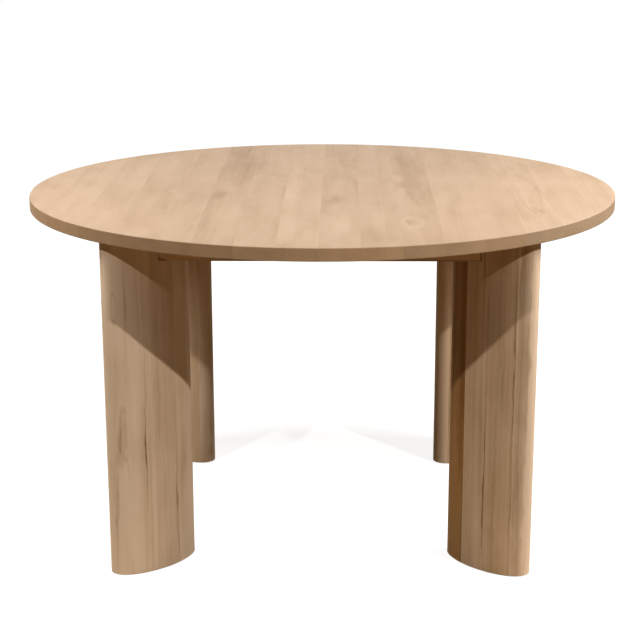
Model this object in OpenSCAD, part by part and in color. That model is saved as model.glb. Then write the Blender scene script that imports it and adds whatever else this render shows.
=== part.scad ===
// Round solid-wood dining table on four oval stave legs, in millimetres.
// The origin is on the floor under the middle of the top. X runs left to right, Y front to back, Z up.
// The leg corners are cut away beside a low under-frame, which rests on the shelf that the cut leaves.

/* [Top] */
// Diameter of the round top
top_d = 1300; // [1260:10:1400]
// Thickness of the top
top_t = 27; // [24:1:36]
// Height of the top face above the floor
table_h = 755; // [700:5:780]
// Number of boards glued edge to edge, running front to back
board_count = 16; // [12:1:20]
// Rounding of the rim's upper and lower edge
rim_r = 2; // [1:0.5:5]

/* [Legs] */
// Long axis of the oval leg section, pointing at the middle of the table
leg_w = 216; // [200:1:230]
// Short axis of the oval leg section
leg_t = 101; // [92:1:116]
// Distance from the rim of the top in to the outer end of each leg
leg_inset = 30; // [24:1:44]
// Width of the narrow stave at each leg's inner end, which points at the middle of the table
inner_stave_w = 13; // [8:1:20]
// Width of the narrow stave at each leg's outer end
outer_stave_w = 23; // [14:1:30]
// Chamfer round the leg's foot
foot_chamfer = 2; // [1:0.5:4]
// Gap between the outer part of a leg and the underside of the top
leg_top_gap = 0.3; // [0:0.1:0.8]

/* [Under-frame] */
// Distance from the legs' axes in to the outer face of the side rails
frame_in = 32; // [28:1:36]
// Distance from the legs' axes out to the outer face of the front and back rails
frame_out = 38; // [34:1:44]
// Height of the rails
rail_h = 54; // [48:1:64]
// Thickness of the rails
rail_t = 26; // [24:1:30]
// Chamfer on the rails' lower long edges
rail_chamfer = 1.5; // [0.5:0.5:3]

/* [Dowels] */
// Diameter of the rail dowels
dowel_d = 10; // [8:1:12]
// Length of the rail dowels
dowel_l = 40; // [36:1:44]
// Depth of the dowel holes in the rail that the dowels cross
dowel_side_depth = 17; // [14:1:19]
// Distance between the two dowels of a joint
dowel_pitch = 28; // [24:1:32]
// Clearance all round a dowel and past each of its ends
dowel_gap = 0.1; // [0.05:0.05:0.3]

/* [Leg bolts] */
// Thread diameter of the leg bolts
bolt_d = 8; // [6:1:8]
// Length of the bolts under the head
bolt_l = 60; // [50:1:64]
// Diameter of the bolt head
bolt_head_d = 13; // [12:0.5:15]
// Height of the bolt head
bolt_head_h = 8; // [6:0.5:9]
// Width across the flats of the head's hexagon socket
bolt_key = 6; // [4:0.5:6]
// Depth of the hexagon socket
bolt_key_depth = 4; // [3:0.5:5]
// Distance of a leg's outer bolt from the leg's axis, back along the side rail
bolt_back = 11; // [8:1:14]
// Distance between the two bolts of a leg
bolt_pitch = 31; // [28:1:32]
// Diameter of the washers
washer_d = 22; // [18:1:24]
// Thickness of the washers
washer_t = 2; // [1.5:0.5:3]
// Clearance all round the bolts in the side rails
bolt_gap = 0.5; // [0.2:0.1:0.8]
// Outer diameter of the threaded sleeves in the legs
sleeve_d = 12; // [11:0.5:14]
// Length of the threaded sleeves
sleeve_l = 25; // [18:1:28]
// Clearance all round the threads in sleeves and pilot holes, and the sleeves and glide nails in the legs
thread_gap = 0.05; // [0.05:0.05:0.15]

/* [Top screws] */
// Diameter of the screws that hold the top
screw_d = 5; // [4:0.5:6]
// Diameter of the screw head
screw_head_d = 10; // [9:0.5:12]
// Height of the screw head
screw_head_h = 3.5; // [2.5:0.5:4]
// Length of the screws under the head
screw_l = 50; // [46:1:52]
// How far the screws reach into the top
screw_grip = 18; // [14:1:21]
// Diameter of the screw washers
screw_washer_d = 14; // [13:0.5:16]
// Thickness of the screw washers
screw_washer_t = 1.5; // [1:0.5:2]
// Sideways travel of the screws in their slots, for the movement of the wood
screw_travel = 3; // [1:0.5:5]
// Clearance all round the screws in the rails and round their washers, and across the washers' bores
screw_gap = 0.5; // [0.3:0.1:0.8]
// Distance of the inner screws in the front and back rails from the middle
screw_inner_x = 41; // [30:1:60]
// Distance of the outer screws in the front and back rails from the middle
screw_outer_x = 203; // [160:1:230]
// Distance of the screws in the side rails from the middle
screw_side_y = 150; // [80:1:220]
// Distance of the screws in the centre rail from the middle
screw_centre_x = 122; // [60:1:220]

/* [Glides] */
// Diameter of the floor glides
glide_d = 26; // [22:1:30]
// Thickness of the glides
glide_t = 4; // [3.5:0.5:5]
// Chamfer round the glides' lower edge
glide_chamfer = 1; // [0.5:0.5:2]
// How far the glides stand out below the legs
glide_out = 1.5; // [1:0.5:2.5]
// Distance of the glides from the leg's axis, along its long side
glide_u = 60; // [46:1:64]
// Clearance round the glides in their recesses
glide_gap = 0.5; // [0.3:0.1:1]
// Diameter of the nail moulded into each glide
nail_d = 3; // [2:0.5:4]
// Length of that nail
nail_l = 16; // [10:1:22]

/* [Hidden] */
$fn = 96;
// Overshoot of a cut past the face that it opens
e = 1;
// How much deeper a blind hole is than what it holds
hole_spare = 1;

top_z = table_h - top_t;
rail_z = top_z - rail_h;
rail_mid_z = rail_z + rail_h / 2;
board_w = top_d / board_count;
leg_reach = top_d / 2 - leg_inset - leg_w / 2;
leg_x = leg_reach / sqrt(2);
frame_w = 2 * (leg_x - frame_in);
frame_d = 2 * (leg_x + frame_out);
side_rail_l = frame_d - 2 * rail_t;
centre_rail_l = frame_w - 2 * rail_t;
side_rail_x = frame_w / 2 - rail_t / 2;
front_rail_y = frame_d / 2 - rail_t / 2;
leg_top_z = top_z - leg_top_gap;
dowel_end_depth = dowel_l - dowel_side_depth + 2 * dowel_gap;
screw_head_z = top_z + screw_grip - screw_l;
screw_shoulder_z = screw_head_z + screw_washer_t;
pilot_r = screw_d / 2 + thread_gap;
bolt_head_x = frame_w / 2 - rail_t - washer_t;
bolt_reach = bolt_l - rail_t - washer_t;

LEGS = ["front_left", "front_right", "back_right", "back_left"];
LEG_ANGLES = [225, 315, 45, 135];
LEG_SIDES = [[-1, -1], [1, -1], [1, 1], [-1, 1]];
STAVES = 5;
// Width of the full staves between the two narrow ones
stave_w = (leg_w - inner_stave_w - outer_stave_w) / (STAVES - 2);
// Steps in each quarter round of the rim
RIM_STEPS = 3;

BOARD_TONES = ["#e3c5a2", "#dcb994", "#e6caa8", "#e0c09b", "#e4c7a4", "#cfa981", "#e2c29e", "#e6caa9",
    "#c9a47c", "#ddbd98", "#cba880", "#e1c29d", "#dfbd97", "#e5c9a7", "#ddba93", "#e4c6a3"];
STAVE_TONES = [
    ["#d2ad86", "#cfa980", "#d3af88", "#dab994", "#d8b58f"],
    ["#a97c50", "#b3875c", "#d0aa82", "#c79f76", "#d6b28b"],
    ["#cda67d", "#d4b089", "#caa279", "#d7b48d", "#d0ab83"],
    ["#d5b18a", "#cba47b", "#d3ae86", "#cfa880", "#d9b791"]
];
RAIL_TONE = "#c49a6f";

// Points along an arc of the rim's rounding, at height z, in a few equal steps
function rim_arc(z, from, to) = [
    for (i = [0:RIM_STEPS]) let (a = from + (to - from) * i / RIM_STEPS)
        [top_d / 2 - rim_r + rim_r * cos(a), z + rim_r * sin(a)]
];

// The whole round top as one disc with both edges of its rim rounded, before it is cut into boards
module top_disc() {
    lower = rim_arc(rim_r, -90, 0);
    upper = rim_arc(top_t - rim_r, 0, 90);
    profile = concat([[0, 0]], lower, upper, [[0, top_t]]);
    translate([0, 0, top_z]) rotate_extrude($fn = 240) polygon(profile);
}

// Places of the screws that hold the top, one list for each kind of rail
FRONT_SCREWS = [for (x = [-screw_outer_x, -screw_inner_x, screw_inner_x, screw_outer_x], s = [-1, 1])
    [x, s * front_rail_y]];
SIDE_SCREWS = [for (s = [-1, 1], y = [-screw_side_y, screw_side_y]) [s * side_rail_x, y]];
CENTRE_SCREWS = [for (x = [-screw_centre_x, screw_centre_x]) [x, 0]];
SCREWS = concat(FRONT_SCREWS, SIDE_SCREWS, CENTRE_SCREWS);

// One board of the top: a slice of the disc, with the pilot holes that fall in it
module top_board(i) {
    left = -top_d / 2 + (i - 1) * board_w;
    color(BOARD_TONES[i % len(BOARD_TONES)]) difference() {
        intersection() {
            top_disc();
            translate([left, -top_d, top_z - e]) cube([board_w, 2 * top_d, top_t + 2 * e]);
        }
        for (p = SCREWS) {
            if (p[0] > left - pilot_r && p[0] < left + board_w + pilot_r) {
                translate([p[0], p[1], top_z - e]) cylinder(r = pilot_r, h = screw_grip + hole_spare + e);
            }
        }
    }
}

// Runs its children in a leg's own frame: u along its long axis, outwards, and v across it
module at_leg(k) {
    rotate([0, 0, LEG_ANGLES[k]]) translate([leg_reach, 0, 0]) children();
}

// The oval leg from its foot up to the top, with the chamfer at the foot
module leg_blank() {
    stretch = leg_w / leg_t;
    scale([stretch, 1, 1]) {
        translate([0, 0, glide_out]) {
            cylinder(h = foot_chamfer, d1 = leg_t - 2 * foot_chamfer, d2 = leg_t);
        }
        translate([0, 0, glide_out + foot_chamfer]) {
            cylinder(h = leg_top_z - glide_out - foot_chamfer, d = leg_t);
        }
    }
}

// Distances, along the side rail, of the two bolts that hold a leg
BOLT_YS = [leg_x - bolt_back - bolt_pitch, leg_x - bolt_back];

// Runs its children on the axis of the bolt at place y of the leg on side s, from x outwards
module at_bolt(s, y, x) {
    translate([s[0] * x, s[1] * y, rail_mid_z]) rotate([0, s[0] * 90, 0]) children();
}

// What is cut out of a leg: the corner for the frame, the sleeve bores and the glide recesses
module leg_cuts(k) {
    s = LEG_SIDES[k];
    frame_x = frame_w / 2;
    translate([s[0] < 0 ? -frame_x : 0, s[1] < 0 ? -top_d : 0, rail_z]) cube([frame_x, top_d, rail_h + e]);
    for (y = BOLT_YS) {
        at_bolt(s, y, frame_x - e) cylinder(d = sleeve_d + 2 * thread_gap, h = sleeve_l + e);
        at_bolt(s, y, frame_x) cylinder(d = bolt_d + 2 * bolt_gap, h = bolt_reach + hole_spare);
    }
    at_leg(k) for (u = [-glide_u, glide_u]) {
        translate([u, 0, -e]) cylinder(d = glide_d + 2 * glide_gap, h = glide_t + e);
        translate([u, 0, 0]) cylinder(d = nail_d + 2 * thread_gap, h = glide_t + nail_l + hole_spare);
    }
}

// One stave of a leg, counted from the end that points at the middle of the table
module leg_stave(k, i) {
    first = inner_stave_w - leg_w / 2;
    from = i == 1 ? -leg_w : first + (i - 2) * stave_w;
    to = i == STAVES ? leg_w : first + (i - 1) * stave_w;
    color(STAVE_TONES[k][i - 1]) difference() {
        at_leg(k) intersection() {
            leg_blank();
            translate([from, -leg_t, 0]) cube([to - from, 2 * leg_t, table_h]);
        }
        leg_cuts(k);
    }
}

// A rail along X, centred, its lower long edges chamfered
module rail_bar(length) {
    half = rail_t / 2;
    c = rail_chamfer;
    outline = [[-half + c, 0], [half - c, 0], [half, c], [half, rail_h], [-half, rail_h], [-half, c]];
    translate([-length / 2, 0, rail_z]) rotate([90, 0, 90]) linear_extrude(height = length) polygon(outline);
}

// A slot through a rail for each screw, wide enough for the wood's sideways movement, with its counterbore
module screw_slots(places) {
    for (p = places) translate([p[0], p[1], 0]) {
        slot(screw_d + 2 * screw_gap, rail_z - e, top_z + e);
        slot(screw_washer_d + 2 * screw_gap, rail_z - e, screw_shoulder_z);
    }
}

// A round-ended slot along X, from one height to another
module slot(d, z1, z2) {
    for (s = [-1, 1]) translate([s * screw_travel / 2, 0, z1]) cylinder(d = d, h = z2 - z1);
    translate([-screw_travel / 2, -d / 2, z1]) cube([screw_travel, d, z2 - z1]);
}

// The two dowels of a joint, or the holes for them, along X from x1 to x2
module dowel_pair(x1, x2, d) {
    for (s = [-1, 1]) translate([x1, 0, rail_mid_z + s * dowel_pitch / 2]) {
        rotate([0, 90, 0]) cylinder(d = d, h = x2 - x1);
    }
}

// Blind holes for the dowels in a rail's end, the end being at x and the rail behind it
module end_holes(x) {
    dowel_pair(x - dowel_end_depth, x + e, dowel_d + 2 * dowel_gap);
}

// Blind holes for the dowels in the face of the rail that is crossed, the face being at x
module face_holes(x) {
    dowel_pair(x - e, x + dowel_side_depth, dowel_d + 2 * dowel_gap);
}

// Front or back rail: s is -1 for the front and 1 for the back
module cross_rail(s) {
    color(RAIL_TONE) difference() {
        translate([0, s * front_rail_y, 0]) rail_bar(frame_w);
        for (x = [-side_rail_x, side_rail_x]) {
            translate([x, 0, 0]) rotate([0, 0, s * 90]) face_holes(frame_d / 2 - rail_t);
        }
        screw_slots([for (p = FRONT_SCREWS) if (p[1] * s > 0) p]);
    }
}

// Left or right rail: s is -1 for the left and 1 for the right
module side_rail(s) {
    color(RAIL_TONE) difference() {
        translate([s * side_rail_x, 0, 0]) rotate([0, 0, 90]) rail_bar(side_rail_l);
        for (a = [-90, 90]) translate([s * side_rail_x, 0, 0]) rotate([0, 0, a]) end_holes(side_rail_l / 2);
        rotate([0, 0, s < 0 ? 180 : 0]) face_holes(centre_rail_l / 2);
        for (t = [-1, 1], y = BOLT_YS) {
            at_bolt([s, t], y, frame_w / 2 - rail_t - e) cylinder(d = bolt_d + 2 * bolt_gap, h = rail_t + 2 * e);
        }
        screw_slots([for (p = SIDE_SCREWS) if (p[0] * s > 0) p]);
    }
}

module centre_rail() {
    color(RAIL_TONE) difference() {
        rail_bar(centre_rail_l);
        for (a = [0, 180]) rotate([0, 0, a]) end_holes(centre_rail_l / 2);
        screw_slots(CENTRE_SCREWS);
    }
}

// All the wooden dowels: two at each corner of the frame and two at each end of the centre rail
module rail_dowels() {
    color("#d9b98f") {
        for (x = [-side_rail_x, side_rail_x], a = [-90, 90]) {
            translate([x, 0, 0]) rotate([0, 0, a]) dowels_at(side_rail_l / 2);
        }
        for (a = [0, 180]) rotate([0, 0, a]) dowels_at(centre_rail_l / 2);
    }
}

// A joint's two dowels, seated near the bottom of the holes in the crossed rail, whose face is at x
module dowels_at(x) {
    end = x + dowel_side_depth - dowel_gap;
    dowel_pair(end - dowel_l, end, dowel_d);
}

// Runs its children at each of the eight leg bolts, x being the distance from the middle plane
module at_all_bolts(x) {
    for (s = LEG_SIDES, y = BOLT_YS) at_bolt(s, y, x) children();
}

module leg_bolts() {
    color("#3a3a3c") at_all_bolts(bolt_head_x) {
        cylinder(d = bolt_d, h = bolt_l);
        difference() {
            translate([0, 0, -bolt_head_h]) cylinder(d = bolt_head_d, h = bolt_head_h);
            translate([0, 0, -bolt_head_h - e]) {
                cylinder(d = bolt_key / cos(30), h = bolt_key_depth + e, $fn = 6);
            }
        }
    }
}

module leg_bolt_washers() {
    color("#8e8f92") at_all_bolts(bolt_head_x) {
        difference() {
            cylinder(d = washer_d, h = washer_t);
            translate([0, 0, -e]) cylinder(d = bolt_d + 2 * bolt_gap, h = washer_t + 2 * e);
        }
    }
}

// Threaded sleeves, flush with the wall of the leg's cut corner
module leg_bolt_sleeves() {
    color("#b59a52") at_all_bolts(frame_w / 2) {
        difference() {
            cylinder(d = sleeve_d, h = sleeve_l);
            translate([0, 0, -e]) cylinder(d = bolt_d + 2 * thread_gap, h = sleeve_l + 2 * e);
        }
    }
}

// Pan-head screws up through the rails, with a pointed end
module top_screws() {
    point = screw_d;
    color("#8e8f92") for (p = SCREWS) translate([p[0], p[1], screw_head_z]) {
        translate([0, 0, -screw_head_h]) cylinder(d = screw_head_d, h = screw_head_h);
        cylinder(d = screw_d, h = screw_l - point);
        translate([0, 0, screw_l - point]) cylinder(d1 = screw_d, d2 = 1, h = point);
    }
}

module top_screw_washers() {
    color("#8e8f92") for (p = SCREWS) translate([p[0], p[1], screw_head_z]) {
        difference() {
            cylinder(d = screw_washer_d, h = screw_washer_t);
            translate([0, 0, -e]) cylinder(d = screw_d + screw_gap, h = screw_washer_t + 2 * e);
        }
    }
}

// Nail-on glides in shallow recesses, two under each leg, standing a little proud of the wood
module floor_glides() {
    color("#e8e4da") for (k = [0:3]) at_leg(k) for (u = [-glide_u, glide_u]) translate([u, 0, 0]) {
        cylinder(d1 = glide_d - 2 * glide_chamfer, d2 = glide_d, h = glide_chamfer);
        translate([0, 0, glide_chamfer]) cylinder(d = glide_d, h = glide_t - glide_chamfer);
        translate([0, 0, glide_t]) cylinder(d = nail_d, h = nail_l);
    }
}

for (i = [1:board_count]) {
    top_board(i);
}
for (k = [0:3], i = [1:STAVES]) {
    leg_stave(k, i);
}
cross_rail(-1);  // front_rail
cross_rail(1);  // back_rail
side_rail(-1);  // left_rail
side_rail(1);  // right_rail
centre_rail();
rail_dowels();
leg_bolts();
leg_bolt_washers();
leg_bolt_sleeves();
top_screws();
top_screw_washers();
floor_glides();
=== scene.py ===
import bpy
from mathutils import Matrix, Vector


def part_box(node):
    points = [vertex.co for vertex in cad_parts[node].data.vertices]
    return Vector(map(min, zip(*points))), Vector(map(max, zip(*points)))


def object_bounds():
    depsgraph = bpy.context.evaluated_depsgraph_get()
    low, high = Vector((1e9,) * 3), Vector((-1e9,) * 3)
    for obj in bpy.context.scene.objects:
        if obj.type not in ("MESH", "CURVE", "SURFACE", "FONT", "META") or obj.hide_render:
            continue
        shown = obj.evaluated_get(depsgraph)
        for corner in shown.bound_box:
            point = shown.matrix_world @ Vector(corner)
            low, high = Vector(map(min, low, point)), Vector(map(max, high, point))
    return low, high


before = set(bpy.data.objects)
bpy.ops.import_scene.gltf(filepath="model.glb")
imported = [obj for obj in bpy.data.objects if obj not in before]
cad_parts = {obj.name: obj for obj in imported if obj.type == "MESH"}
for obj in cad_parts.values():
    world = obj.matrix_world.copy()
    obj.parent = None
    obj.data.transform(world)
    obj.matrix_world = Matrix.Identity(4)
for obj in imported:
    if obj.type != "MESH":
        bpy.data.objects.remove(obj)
solid_box = [list(corner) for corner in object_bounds()]

import math

import bpy


# Top
# Sixteen planed teak boards, 27 mm thick, edge-glued and turned to a round 1300 mm across. They
# run front to back, each with its own tone, and the rim is lightly rounded, sanded and oiled.

TOP_FACE = solid_box[1][2]
# A mark on the wood reaches this far in, so right through any piece.
THROUGH = 0.2


def linear(tone):
    """An sRGB hex tone as the linear colour that a socket takes."""
    parts = [int(tone[i:i + 2], 16) / 255 for i in (1, 3, 5)]
    return [c / 12.92 if c <= 0.04045 else ((c + 0.055) / 1.055) ** 2.4 for c in parts] + [1.0]


def add_node(material, kind, settings=None, values=None, links=None, stops=()):
    """Adds a node with its settings, its socket values, its incoming links and, on a colour ramp, its
    stops: each a place and an sRGB hex tone, in rising order."""
    node = material.node_tree.nodes.new(kind)
    for name, value in (settings or {}).items():
        setattr(node, name, value)
    for socket, value in (values or {}).items():
        node.inputs[socket].default_value = value
    for socket, source in (links or {}).items():
        material.node_tree.links.new(source, node.inputs[socket])
    if stops:
        for position, _ in stops[1:-1]:
            node.color_ramp.elements.new(position)
        for element, (position, tone) in zip(node.color_ramp.elements, stops):
            element.position = position
            element.color = linear(tone)
    return node


def bare_material(name):
    """A material with only a shader, and that shader."""
    material = bpy.data.materials.new(name)
    material.use_nodes = True
    return material, material.node_tree.nodes["Principled BSDF"]


def dress(piece, material):
    """Gives a CAD piece its one material."""
    piece.data.materials.clear()
    piece.data.materials.append(material)


def solid_wood(name, tones, pith, turn, seed, ring=0.006, rings=0.2, lines=0.0, fibres=0.14, drift=0.5,
               clouds=0.8, marks=(), heart="#9c7a56", gloss=0.1, roughness=0.65,
               cut=((0, 0, 1), 0.35, 0.95), cut_tone="#dfd8cc"):
    """Solid wood. Teak, planed, sanded and oiled, looks warm and nearly matt. It has uneven growth rings
    about a pith line outside the piece, fine fibres and pores along it, slow drifts and clouds of tone,
    marks of its own and darker cut faces. `pith` is a point on the pith line and `turn` the line's
    direction. `ring` is the rings' mean width, and `seed` moves the patterns, so that no two pieces
    match. `rings`, `lines`, `fibres`, `drift` and `clouds` are the share that each has in the tone."""
    material, shader = bare_material(name)

    def node(kind, settings=None, values=None, links=None, stops=()):
        return add_node(material, kind, settings, values, links, stops)

    place = node("ShaderNodeTexCoord")
    # The log's own directions: Z runs along the pith line, X and Y across it.
    log = node("ShaderNodeMapping", {"vector_type": "TEXTURE"}, {"Location": pith, "Rotation": turn},
               {"Vector": place.outputs["Object"]})
    # Everything in a log is drawn out along the grain, about seventeen times.
    drawn = node("ShaderNodeMapping", {}, {"Location": (0, 0, seed), "Scale": (1, 1, 0.06)},
                 {"Vector": log.outputs["Vector"]})
    flat = node("ShaderNodeVectorMath", {"operation": "MULTIPLY"}, {1: (1, 1, 0)},
                {0: log.outputs["Vector"]})
    radius = node("ShaderNodeVectorMath", {"operation": "LENGTH"}, {}, {0: flat.outputs["Vector"]})
    # The tone drifts in waves about 45 mm wide, and the rings bend with it, by up to 30 mm.
    slow = node("ShaderNodeTexNoise", {}, {"Scale": 22.0, "Detail": 2.0, "Roughness": 0.5},
                {"Vector": drawn.outputs["Vector"]})
    bent = node("ShaderNodeMath", {"operation": "MULTIPLY_ADD"}, {1: 0.03},
                {0: slow.outputs["Fac"], 2: radius.outputs["Value"]}).outputs[0]

    # The marks of this one piece, each (kind, middle, half sizes, depth): knots, spots and streaks, the
    # rims of burls, and lines of painted shade where parts meet. They are dark, or pale where the depth is
    # below nought. All wander by up to 6 mm in waves about 60 mm long and have edges ragged in steps of
    # about 9 mm. Only a painted shade line is straight.
    dark = None
    if marks:
        wave = node("ShaderNodeTexNoise", {}, {"Scale": 16.0, "Detail": 3.0},
                    {"Vector": place.outputs["Object"]})
        aside = node("ShaderNodeMapRange", {"data_type": "FLOAT_VECTOR"},
                     {"To Min": (-0.006, -0.006, -0.006), "To Max": (0.006, 0.006, 0.006)},
                     {"Vector": wave.outputs["Color"]})
        wavy = node("ShaderNodeVectorMath", {"operation": "ADD"}, {},
                    {0: place.outputs["Object"], 1: aside.outputs["Vector"]})
        ragged = node("ShaderNodeTexNoise", {}, {"Scale": 110.0, "Detail": 3.0},
                      {"Vector": drawn.outputs["Vector"]})
    for kind, centre, size, depth in marks:
        # Lines of painted shade, in gaps and under edges where parts meet, are drawn straight.
        straight = kind == "joint"
        near = node("ShaderNodeMapping", {"vector_type": "TEXTURE"},
                    {"Location": centre, "Rotation": turn, "Scale": size},
                    {"Vector": place.outputs["Object"] if straight else wavy.outputs["Vector"]})
        # `reach` is 1 at the mark's half sizes, and `far` is the same with a ragged edge.
        reach = node("ShaderNodeVectorMath", {"operation": "LENGTH"}, {}, {0: near.outputs["Vector"]})
        far = node("ShaderNodeMath", {"operation": "MULTIPLY_ADD"}, {1: 0.2 if straight else 1.2},
                   {0: ragged.outputs["Fac"], 2: reach.outputs["Value"]})
        if kind == "knot":
            # The rings bend round a knot, by up to 20 mm.
            push = node("ShaderNodeMapRange", {"interpolation_type": "SMOOTHERSTEP"},
                        {"From Min": 2.6, "From Max": 0.3, "To Min": 0.0, "To Max": 0.02},
                        {"Value": reach.outputs["Value"]})
            bent = node("ShaderNodeMath", {"operation": "ADD"}, {},
                        {0: bent, 1: push.outputs["Result"]}).outputs[0]
        if kind == "rim":
            # Only a narrow band round the mark is toned.
            off = node("ShaderNodeMath", {"operation": "SUBTRACT"}, {1: 1.6}, {0: far.outputs["Value"]})
            edge = node("ShaderNodeMath", {"operation": "ABSOLUTE"}, {}, {0: off.outputs[0]})
            source, none_from, full_from = edge.outputs[0], 0.3, 0.0
        else:
            source, none_from, full_from = far.outputs["Value"], 2.2, 0.9
        amount = node("ShaderNodeMapRange", {"interpolation_type": "SMOOTHSTEP"},
                      {"From Min": none_from, "From Max": full_from, "To Min": 0.0, "To Max": depth},
                      {"Value": source}).outputs["Result"]
        if dark is None:
            dark = amount
        else:
            dark = node("ShaderNodeMath", {"operation": "ADD"}, {}, {0: dark, 1: amount}).outputs[0]

    # Growth rings, some millimetres wide and all of different width, with a thin dark line in some.
    phase = node("ShaderNodeMath", {"operation": "MULTIPLY"}, {1: 1 / ring}, {0: bent})
    years = node("ShaderNodeTexNoise", {"noise_dimensions": "1D"},
                 {"Scale": 1.0, "Detail": 2.0, "Roughness": 0.55}, {"W": phase.outputs[0]})
    line = node("ShaderNodeMapRange", {"interpolation_type": "SMOOTHSTEP"},
                {"From Min": 0.42, "From Max": 0.34, "To Min": 0.0, "To Max": 1.0},
                {"Value": years.outputs["Fac"]})
    # Fibres are finer than a millimetre, drawn about 2.4 mm wide so that they show in a picture.
    fibre = node("ShaderNodeTexNoise", {}, {"Scale": 420.0, "Detail": 5.0, "Roughness": 0.65},
                 {"Vector": drawn.outputs["Vector"]})
    # Pores are short dark dashes, 0.3 mm wide on the real wood, drawn 1 mm wide and 15 mm long.
    pore = node("ShaderNodeTexNoise", {}, {"Scale": 1100.0, "Detail": 1.0},
                {"Vector": drawn.outputs["Vector"]})
    pored = node("ShaderNodeMapRange", {},
                 {"From Min": 0.62, "From Max": 0.74, "To Min": 0.0, "To Max": 1.0},
                 {"Value": pore.outputs["Fac"]})
    # Clouds of tone are about 60 mm wide, and only about three times as long.
    billow = node("ShaderNodeMapping", {}, {"Location": (seed, 0, 0), "Scale": (1, 1, 0.32)},
                  {"Vector": log.outputs["Vector"]})
    cloud = node("ShaderNodeTexNoise", {},
                 {"Scale": 17.0, "Detail": 3.0, "Roughness": 0.55, "Distortion": 0.3},
                 {"Vector": billow.outputs["Vector"]})

    # The sum starts where an even mean of all noises gives the middle tone, 0.5.
    sums = None
    for source, share in ((years.outputs["Fac"], rings), (fibre.outputs["Fac"], fibres),
                          (slow.outputs["Fac"], drift), (cloud.outputs["Fac"], clouds),
                          (line.outputs["Result"], -lines), (pored.outputs["Result"], -0.10)):
        if sums is None:
            sums = node("ShaderNodeMath", {"operation": "MULTIPLY_ADD"},
                        {1: share, 2: 0.5 - (rings + fibres + drift + clouds) / 2}, {0: source}).outputs[0]
        else:
            sums = node("ShaderNodeMath", {"operation": "MULTIPLY_ADD"}, {1: share},
                        {0: source, 2: sums}).outputs[0]
    # The marks change the tone only, and not the surface.
    height = sums
    if dark is not None:
        sums = node("ShaderNodeMath", {"operation": "SUBTRACT"}, {}, {0: sums, 1: dark}).outputs[0]

    ramp = node("ShaderNodeValToRGB", {}, {}, {"Fac": sums},
                [(0.0, heart), (0.25, tones[0]), (0.5, tones[1]), (0.8, tones[2])])

    # Cut faces drink more oil; on the top's rim the cut tone also carries painted light and shade. `cut`
    # is an axis, and how far a face's normal leans along it where this starts and where it is full.
    lean = node("ShaderNodeVectorMath", {"operation": "DOT_PRODUCT"}, {1: cut[0]},
                {0: place.outputs["Normal"]})
    either = node("ShaderNodeMath", {"operation": "ABSOLUTE"}, {}, {0: lean.outputs["Value"]})
    soaked = node("ShaderNodeMapRange", {},
                  {"From Min": cut[1], "From Max": cut[2], "To Min": 0.0, "To Max": 1.0},
                  {"Value": either.outputs[0]})
    oil = node("ShaderNodeMix", {"data_type": "RGBA", "blend_type": "MULTIPLY"},
               {"Factor": 1.0, "B": linear(cut_tone)}, {"A": ramp.outputs["Color"]})
    wood = node("ShaderNodeMix", {"data_type": "RGBA"}, {},
                {"Factor": soaked.outputs["Result"], "A": ramp.outputs["Color"],
                 "B": oil.outputs["Result"]})

    rough = node("ShaderNodeMapRange", {},
                 {"From Min": 0.2, "From Max": 0.8, "To Min": roughness + 0.08, "To Max": roughness - 0.06},
                 {"Value": height})
    bump = node("ShaderNodeBump", {}, {"Strength": 0.3, "Distance": 0.0002}, {"Height": height})
    tree = material.node_tree
    tree.links.new(wood.outputs["Result"], shader.inputs["Base Color"])
    tree.links.new(rough.outputs["Result"], shader.inputs["Roughness"])
    tree.links.new(bump.outputs["Normal"], shader.inputs["Normal"])
    shader.inputs["IOR"].default_value = 1.5
    shader.inputs["Specular IOR Level"].default_value = gloss
    return material


# Dark, middle and pale tone of the boards.
BOARD_TONES = ("#bb9d80", "#c9ab8e", "#d3b598")


def shifted(tones, by):
    """The same tones, each channel paler by so many steps of 255, or darker where that is negative."""
    return ["#" + "".join(f"{int(tone[i:i + 2], 16) + by:02x}" for i in (1, 3, 5)) for tone in tones]


ALONG_Y = (math.radians(-90), 0, 0)
# The grain leans a little, one way and the other by turns.
BOARD_LEANS = (math.radians(-0.7), math.radians(0.9))
# The seed's step from board to board.
BOARD_SEED = 0.37

# For each board from the left: its tone's shift, how far its pith lay to the right and below, and the
# shift of its rim, which is painted light and shade, paler or darker as light falls more or less on it.
BOARDS = [
    (2, 0.10, 0.16, -2), (3, -0.14, 0.12, -3), (1, 0.12, 0.20, -11), (-4, 0.02, 0.10, -14),
    (-5, -0.20, 0.06, -11), (-11, 0.16, 0.10, 1), (-7, -0.03, 0.12, 10), (-3, 0.22, 0.08, 17),
    (-8, 0.02, 0.09, 31), (-10, -0.16, 0.10, 38), (-9, 0.01, 0.11, 28), (-4, 0.24, 0.05, 17),
    (-4, -0.06, 0.09, 10), (3, 0.03, 0.07, 3), (0, -0.12, 0.12, -2), (1, 0.14, 0.10, -6),
]

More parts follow.
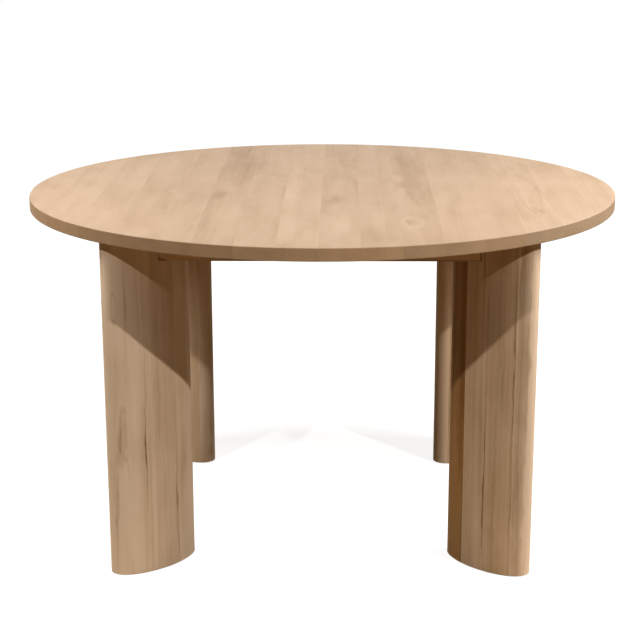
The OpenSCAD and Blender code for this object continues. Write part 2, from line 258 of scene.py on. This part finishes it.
# What stands out on single boards, seen from above: (kind, X, Y, half width, half length, depth).
BOARD_MARKS = {
    1: [("spot", -0.600, 0.02, 0.020, 0.05, 0.06)],
    2: [("spot", -0.540, 0.05, 0.022, 0.05, 0.12)],
    6: [("spot", -0.225, -0.08, 0.013, 0.055, 0.24), ("spot", -0.236, -0.32, 0.009, 0.18, 0.16),
        ("spot", -0.190, -0.36, 0.030, 0.22, -0.30), ("spot", -0.200, 0.34, 0.040, 0.22, 0.24)],
    7: [("spot", -0.152, 0.40, 0.014, 0.22, 0.25), ("spot", -0.110, -0.20, 0.020, 0.30, -0.15)],
    8: [("spot", -0.065, -0.10, 0.014, 0.42, -0.20)],
    9: [("spot", 0.040, 0.10, 0.036, 0.36, 0.08), ("knot", 0.031, -0.156, 0.012, 0.045, 0.20),
        ("spot", 0.048, -0.41, 0.014, 0.070, -0.35), ("spot", 0.020, -0.44, 0.020, 0.10, -0.15)],
    10: [("spot", 0.120, -0.38, 0.012, 0.12, -0.22)],
    11: [("spot", 0.203, 0.16, 0.034, 0.30, 0.20), ("knot", 0.181, -0.40, 0.010, 0.026, 0.20),
         ("rim", 0.188, -0.395, 0.020, 0.060, -0.20), ("spot", 0.172, 0.12, 0.010, 0.05, -0.25),
         ("spot", 0.176, -0.06, 0.010, 0.05, -0.25)],
    14: [("rim", 0.455, -0.06, 0.022, 0.22, 0.14), ("rim", 0.455, -0.06, 0.038, 0.40, 0.10)],
}

# What the rim takes from the tone, and two greyer versions of it, from these boards on.
RIM_TONES = ("#d5c9b6", "#d2c9ba", "#cdc9bf")
GREYER_FROM = (11, 14)

for number, (shift, right, below, rim) in enumerate(BOARDS, 1):
    low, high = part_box(f"top_board_{number}")
    middle_x = (low.x + high.x) / 2
    lean = BOARD_LEANS[number % 2]
    greyer = sum(number >= first for first in GREYER_FROM)
    marks = [(kind, (x, y, TOP_FACE), (wide, THROUGH, long), depth)
             for kind, x, y, wide, long, depth in BOARD_MARKS.get(number, [])]
    # The rim's shift paints light and shade round the rim into its cut tone.
    teak = solid_wood(f"oiled_teak_board_{number}", shifted(BOARD_TONES, shift),
                      (middle_x + right, 0, TOP_FACE - below), (ALONG_Y[0] + lean, 0, lean / 2),
                      seed=number * BOARD_SEED, rings=0.15, fibres=0.10, drift=0.4, clouds=0.6,
                      marks=marks, heart="#ab8a66", cut=((0, 0, 1), 0.85, 0.30),
                      cut_tone=shifted(RIM_TONES, rim)[greyer])
    dress(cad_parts[f"top_board_{number}"], teak)


# Legs
# Each leg is five upright teak staves, glued into a blank and shaped to an oval 216 mm long and
# 101 mm thick that points at the middle of the table. The staves differ in tone.

LEG_REACH = 0.512
LEG_ANGLES = {"front_left": 225, "front_right": 315, "back_right": 45, "back_left": 135}
# How far the pith of a stave lay from the leg's axis, in or out, and on one side or the other.
PITH_OUT, PITH_LEFT, PITH_RIGHT = 0.12, 0.07, 0.09
# The seed's step from stave to stave, and with each degree of the leg's angle.
STAVE_SEED, LEG_SEED = 0.61, 0.01

# Dark, middle and pale tone of each kind of stave, and the five staves of each leg from the inner end.
LEG_EVEN = ("#c09f7c", "#cfae8b", "#dabb9b")
LEG_PALE = ("#cdaf8e", "#dcbe9e", "#e6caad")
LEG_BROWN = ("#ad8a64", "#bf9c77", "#cfae8b")
LEG_TAN = ("#b6946f", "#c5a380", "#d2b291")
LEG_DARK = ("#835a2e", "#976c3d", "#a87d4d")
LEG_FAIR = ("#c6a787", "#d4b595", "#dfc2a4")
# Pale sapwood, whose palest tone also serves as a painted highlight.
LEG_SAPWOOD_AND_HIGHLIGHT = ("#b08f6e", "#c5a584", "#e2c4a5")
STAVES = {
    "front_left": (LEG_PALE, LEG_PALE, LEG_FAIR, LEG_PALE, LEG_PALE),
    "front_right": (LEG_BROWN, LEG_DARK, LEG_EVEN, LEG_TAN, LEG_SAPWOOD_AND_HIGHLIGHT),
    "back_right": (LEG_EVEN, LEG_BROWN, LEG_PALE, LEG_EVEN, LEG_EVEN),
    "back_left": (LEG_FAIR, LEG_EVEN, LEG_EVEN, LEG_EVEN, LEG_BROWN),
}

# What stands out on single staves:
# (kind, outwards from the leg's axis, height, half width, half height, depth).
STAVE_MARKS = {
    "front_left": {
        2: [("spot", -0.050, 0.30, 0.0080, 0.25, 0.12), ("spot", -0.080, 0.13, 0.0170, 0.13, -0.24)],
        3: [("spot", 0.000, 0.20, 0.0280, 0.16, -0.14), ("spot", -0.032, 0.150, 0.0031, 0.115, 0.40),
            ("spot", -0.030, 0.30, 0.0027, 0.20, 0.16), ("spot", 0.004, 0.16, 0.0041, 0.16, 0.13),
            ("spot", 0.014, 0.42, 0.0060, 0.20, 0.14)],
        4: [("spot", 0.0465, 0.36, 0.0020, 0.26, 0.29), ("spot", 0.030, 0.50, 0.0020, 0.24, 0.12),
            ("spot", 0.081, 0.625, 0.0016, 0.070, 0.29), ("spot", 0.070, 0.30, 0.0100, 0.20, -0.20),
            ("spot", 0.040, 0.16, 0.0040, 0.14, 0.16)],
        5: [("rim", 0.100, 0.582, 0.0041, 0.030, 0.29), ("rim", 0.084, 0.315, 0.0150, 0.052, 0.27),
            ("spot", 0.090, 0.312, 0.0080, 0.035, 0.30), ("spot", 0.096, 0.260, 0.0060, 0.020, 0.24),
            ("spot", 0.1035, 0.150, 0.0016, 0.080, 0.25)],
    },
    "front_right": {
        2: [("spot", -0.062, 0.12, 0.0300, 0.22, -0.38), ("spot", -0.075, 0.50, 0.0100, 0.20, 0.20)],
        3: [("spot", -0.012, 0.16, 0.0300, 0.20, -0.12), ("spot", 0.0242, 0.36, 0.0018, 0.42, 0.30),
            ("spot", 0.0235, 0.15, 0.0026, 0.14, 0.34), ("spot", 0.012, 0.62, 0.0041, 0.12, 0.12)],
        4: [("spot", 0.052, 0.55, 0.0041, 0.18, 0.20), ("spot", 0.048, 0.18, 0.0041, 0.18, 0.18),
            ("spot", 0.062, 0.46, 0.0034, 0.12, 0.16), ("spot", 0.0835, 0.34, 0.0020, 0.34, 0.32),
            ("spot", 0.036, 0.30, 0.0040, 0.20, 0.12)],
        # The pale strip down the outer end is partly pale sapwood and partly a painted highlight of side
        # light.
        5: [("spot", 0.113, 0.36, 0.0070, 1.50, -0.60), ("spot", 0.090, 0.64, 0.0019, 0.12, 0.18)],
    },
    "back_left": {
        1: [("rim", -0.086, 0.27, 0.0120, 0.09, 0.32), ("spot", -0.090, 0.26, 0.0220, 0.16, -0.40),
            ("spot", -0.100, 0.06, 0.0240, 0.10, 0.24), ("spot", -0.080, 0.52, 0.0140, 0.07, 0.24)],
        4: [("rim", 0.060, 0.30, 0.0140, 0.07, 0.28)],
    },
    "back_right": {
        1: [("spot", -0.092, 0.16, 0.0260, 0.22, -0.40)],
        2: [("spot", -0.060, 0.30, 0.0040, 0.20, 0.30)],
    },
}

for leg, staves in STAVES.items():
    angle = math.radians(LEG_ANGLES[leg])
    # The way that the leg points, outwards.
    out_x, out_y = math.cos(angle), math.sin(angle)
    for number, tones in enumerate(staves, 1):
        far = LEG_REACH + PITH_OUT * (1 if number % 2 else -1)
        side = PITH_LEFT if number in (2, 5) else -PITH_RIGHT
        pith = (far * out_x - side * out_y, far * out_y + side * out_x, 0)
        marks = [(kind, ((LEG_REACH + outwards) * out_x, (LEG_REACH + outwards) * out_y, z),
                  (wide, THROUGH, high), depth)
                 for kind, outwards, z, wide, high, depth in STAVE_MARKS[leg].get(number, [])]
        teak = solid_wood(f"oiled_teak_{leg}_stave_{number}", tones, pith, (0, 0, angle),
                          seed=number * STAVE_SEED + LEG_ANGLES[leg] * LEG_SEED, ring=0.009, rings=0.4,
                          lines=0.03, fibres=0.16, marks=marks, heart="#866440", gloss=0.08,
                          roughness=0.7)
        dress(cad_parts[f"{leg}_leg_stave_{number}"], teak)


# Under-frame
# Five planed teak rails, 54 by 26 mm: front and back, two sides between them, and one across the
# middle. They are dowelled together, and left a little rougher than the top, because they are
# hardly seen.

RAILS = ("front_rail", "back_rail", "left_rail", "right_rail", "centre_rail")
RAIL_TONES = ("#cca781", "#dcb891", "#e9c7a4")
# The seed's step from rail to rail.
RAIL_SEED = 0.83
ALONG_X = (0, math.radians(90), 0)
# The pith of every rail lay behind and below it, each a little higher than the last.
RAIL_PITH_BEHIND, RAIL_PITH_HEIGHT, RAIL_PITH_STEP = 0.02, 0.62, 0.01

# Painted shade darkens the front rail in the gaps at its ends, at its left corner and along its lower
# edge, where the shade falls between it and the legs: (X, height, half height, half length, depth).
FRONT_RAIL_SHADE_LINES = [(-0.3285, 0.701, 0.030, 0.0018, 0.35), (-0.3255, 0.6755, 0.0035, 0.0080, 0.6),
                (0.3285, 0.701, 0.030, 0.0018, 0.7), (0, 0.6750, 0.0016, 0.34, 0.4)]

for number, rail in enumerate(RAILS, 1):
    low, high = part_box(rail)
    runs_across = high.x - low.x > high.y - low.y
    turn, grain = (ALONG_X, (1, 0, 0)) if runs_across else (ALONG_Y, (0, 1, 0))
    pith = ((low.x + high.x) / 2, (low.y + high.y) / 2 + RAIL_PITH_BEHIND,
            RAIL_PITH_HEIGHT + RAIL_PITH_STEP * number)
    marks = [("joint", (x, low.y, z), (tall, THROUGH, long), depth)
             for x, z, tall, long, depth in (FRONT_RAIL_SHADE_LINES if rail == "front_rail" else [])]
    teak = solid_wood(f"oiled_teak_{rail}", RAIL_TONES, pith, turn, seed=number * RAIL_SEED, marks=marks,
                      gloss=0.08, roughness=0.75, cut=(grain, 0.35, 0.95))
    dress(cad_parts[rail], teak)


# Dowels
# Plain beech dowels, 10 mm thick, two in each of the rails' six joints. They are turned, left bare,
# and glued in. Bare beech looks paler and plainer than the teak, with fine even rings.

beech = solid_wood("bare_beech", ("#c9a983", "#d9bc97", "#e5cba9"), (0, 0, 0.60), ALONG_X, seed=2.2,
                   ring=0.002, gloss=0.3, roughness=0.6, cut=((1, 0, 0), 0.35, 0.95))
dress(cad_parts["rail_dowels"], beech)


# Leg bolts, washers and sleeves
# Black-oxide socket-head bolts with zinc washers, through the side rails into brass sleeves in
# the legs, two for each leg.

def turned_metal(name, tone, worn_tone, roughness):
    """A turned or pressed metal part, plated or blackened, has an even satin shine, with specks and worn
    spots about 1 mm wide."""
    material, shader = bare_material(name)
    place = add_node(material, "ShaderNodeTexCoord")
    specks = add_node(material, "ShaderNodeTexNoise", {}, {"Scale": 900.0, "Detail": 4.0, "Roughness": 0.6},
                      {"Vector": place.outputs["Object"]})
    ramp = add_node(material, "ShaderNodeValToRGB", {}, {}, {"Fac": specks.outputs["Fac"]},
                    [(0.35, tone), (0.75, worn_tone)])
    rough = add_node(material, "ShaderNodeMapRange", {},
                     {"To Min": roughness - 0.08, "To Max": roughness + 0.12},
                     {"Value": specks.outputs["Fac"]})
    bump = add_node(material, "ShaderNodeBump", {}, {"Strength": 0.2, "Distance": 0.0001},
                    {"Height": specks.outputs["Fac"]})
    tree = material.node_tree
    tree.links.new(ramp.outputs["Color"], shader.inputs["Base Color"])
    tree.links.new(rough.outputs["Result"], shader.inputs["Roughness"])
    tree.links.new(bump.outputs["Normal"], shader.inputs["Normal"])
    shader.inputs["Metallic"].default_value = 1.0
    return material


dress(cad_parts["leg_bolts"], turned_metal("black_oxide_steel", "#3b3b3e", "#5a5a5e", 0.42))
zinc = turned_metal("zinc_plated_steel", "#b9bcc0", "#cfd1d3", 0.34)
dress(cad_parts["leg_bolt_washers"], zinc)
dress(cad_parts["leg_bolt_sleeves"], turned_metal("turned_brass", "#c9a35a", "#dcbd7c", 0.3))


# Top screws
# Zinc-plated steel pan-head screws with washers, up through slots in the rails into the top. The
# slots let the solid top widen and shrink across its grain.

dress(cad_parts["top_screws"], zinc)
dress(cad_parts["top_screw_washers"], zinc)


# Glides
# Moulded off-white nylon glides with a nail each, two under each leg, knocked into shallow recesses
# in the end grain. The table stands on them.

# Moulded nylon looks waxy and nearly matt, with fine scuffs, drawn about 2.5 mm wide.
nylon, nylon_shader = bare_material("moulded_nylon")
place = add_node(nylon, "ShaderNodeTexCoord")
scuffs = add_node(nylon, "ShaderNodeTexNoise", {}, {"Scale": 400.0, "Detail": 5.0, "Roughness": 0.65},
                  {"Vector": place.outputs["Object"]})
scuffed = add_node(nylon, "ShaderNodeValToRGB", {}, {}, {"Fac": scuffs.outputs["Fac"]},
                   [(0.3, "#cfc8b8"), (0.7, "#e3ded2")])
scuff_rough = add_node(nylon, "ShaderNodeMapRange", {}, {"To Min": 0.45, "To Max": 0.7},
                       {"Value": scuffs.outputs["Fac"]})
nylon.node_tree.links.new(scuffed.outputs["Color"], nylon_shader.inputs["Base Color"])
nylon.node_tree.links.new(scuff_rough.outputs["Result"], nylon_shader.inputs["Roughness"])
dress(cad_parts["floor_glides"], nylon)


# Floor and backdrop
# A plain pale studio floor. To the camera and in reflections it is near white and keeps the table's
# soft shadow, and it fades to the white of the backdrop away from the table.

FLOOR_SIDE = 30


def looked_at(material):
    """One where a material or the world is seen, by the camera, in a reflection or through glass, and
    nought where it only gives light."""
    seen = add_node(material, "ShaderNodeLightPath").outputs
    first = add_node(material, "ShaderNodeMath", {"operation": "MAXIMUM"}, {},
                     {0: seen["Is Camera Ray"], 1: seen["Is Glossy Ray"]})
    return add_node(material, "ShaderNodeMath", {"operation": "MAXIMUM"}, {},
                    {0: first.outputs[0], 1: seen["Is Transmission Ray"]}).outputs[0]


bpy.ops.object.select_all(action="DESELECT")
bpy.ops.mesh.primitive_plane_add(size=FLOOR_SIDE)
floor = bpy.context.object
floor.name = "studio_floor"
paint, paint_shader = bare_material("studio_floor_paint")
paint.node_tree.nodes.remove(paint_shader)
place = add_node(paint, "ShaderNodeTexCoord")
spread = add_node(paint, "ShaderNodeVectorMath", {"operation": "LENGTH"}, {}, {0: place.outputs["Object"]})
# What is seen: the shadow, on a glow that fades to white from 1.0 to 2.6 m from the middle.
fade = add_node(paint, "ShaderNodeMapRange", {"interpolation_type": "SMOOTHSTEP"},
                {"From Min": 1.0, "From Max": 2.6, "To Min": 0.86, "To Max": 1.0},
                {"Value": spread.outputs["Value"]})
glow = add_node(paint, "ShaderNodeEmission", {}, {"Color": (1, 1, 1, 1)},
                {"Strength": fade.outputs["Result"]})
shade = add_node(paint, "ShaderNodeBsdfDiffuse", {}, {"Color": linear("#b5b2ae")})
pale = add_node(paint, "ShaderNodeAddShader", {}, {}, {0: glow.outputs[0], 1: shade.outputs[0]})
# What gives light: the floor near the table, with painted light and shade in its colour. It is darker
# under the middle of the table, a painted shade, and paler under the rim, where it also glows faintly
# with painted bounced light, so that the legs' feet are lit most.
near = add_node(paint, "ShaderNodeValToRGB", {}, {}, {"Fac": spread.outputs["Value"]},
                [(0.35, "#6f624d"), (0.60, "#bfae95"), (0.80, "#bfae95"), (1.00, "#6e5530")])
bounce = add_node(paint, "ShaderNodeMapRange", {},
                  {"From Min": 0.60, "From Max": 0.95, "To Min": 0.03, "To Max": 0.0},
                  {"Value": spread.outputs["Value"]})
painted_glow = add_node(paint, "ShaderNodeEmission", {}, {"Color": linear("#efe3cf")},
               {"Strength": bounce.outputs["Result"]})
matt = add_node(paint, "ShaderNodeBsdfDiffuse", {}, {}, {"Color": near.outputs["Color"]})
plain = add_node(paint, "ShaderNodeAddShader", {}, {}, {0: matt.outputs[0], 1: painted_glow.outputs[0]})
both = add_node(paint, "ShaderNodeMixShader", {}, {},
                {0: looked_at(paint), 1: plain.outputs[0], 2: pale.outputs[0]})
paint.node_tree.links.new(both.outputs[0], paint.node_tree.nodes["Material Output"].inputs["Surface"])
floor.data.materials.append(paint)

# The backdrop is white where it is seen, and gives hardly any light.
world = bpy.data.worlds.new("studio")
bpy.context.scene.world = world
world.use_nodes = True
sky = world.node_tree.nodes["Background"]
sky.inputs["Color"].default_value = (1, 1, 1, 1)
level = add_node(world, "ShaderNodeMapRange", {}, {"To Min": 0.01, "To Max": 1.0},
                 {"Value": looked_at(world)})
world.node_tree.links.new(level.outputs["Result"], sky.inputs["Strength"])


# Lamps
# Two small studio lamps in front of the table, left and right, a soft box above each side, and a
# weak one behind.

LAMP_RADIUS = 0.04
SOFTBOX_SIDE = 0.8


def hang(name, light_or_camera, place, turn=(0, 0, 0)):
    """Hangs a lamp or the camera in the studio, turned by degrees about X, Y and Z."""
    holder = bpy.data.objects.new(name, light_or_camera)
    holder.location = place
    holder.rotation_euler = [math.radians(angle) for angle in turn]
    bpy.context.scene.collection.objects.link(holder)
    return holder


# Each lamp's place in metres and its power in watts, and each box's turn between them.
for name, place, power in (("lamp_left", (-2.10, -2.84, 3.06), 222),
                           ("lamp_right", (4.00, -4.17, 4.52), 790)):
    lamp = bpy.data.lights.new(name, "POINT")
    lamp.energy = power
    lamp.shadow_soft_size = LAMP_RADIUS
    hang(name, lamp, place)

for name, place, turn, power in (("softbox_left", (-2.00, -0.25, 2.30), (0, -42, 0), 38),
                                 ("softbox_right", (2.00, -0.25, 1.85), (0, 48, 0), 43),
                                 ("softbox_back", (0, 1.55, 1.15), (-70, 0, 0), 2.2)):
    box = bpy.data.lights.new(name, "AREA")
    box.energy = power
    box.size = SOFTBOX_SIDE
    hang(name, box, place, turn)


# Camera
# A long lens from the front, a little above the top, looking slightly down. Its lens shift brings the
# table to the middle of the picture.

camera = bpy.data.cameras.new("camera")
camera.lens = 95.45
camera.sensor_width = 36
camera.shift_y = 0.1
bpy.context.scene.camera = hang("camera", camera, (0.0481, -3.7810, 1.4224), (73.387, 0.081, 0.790))
bpy.context.scene.view_settings.view_transform = "Standard"
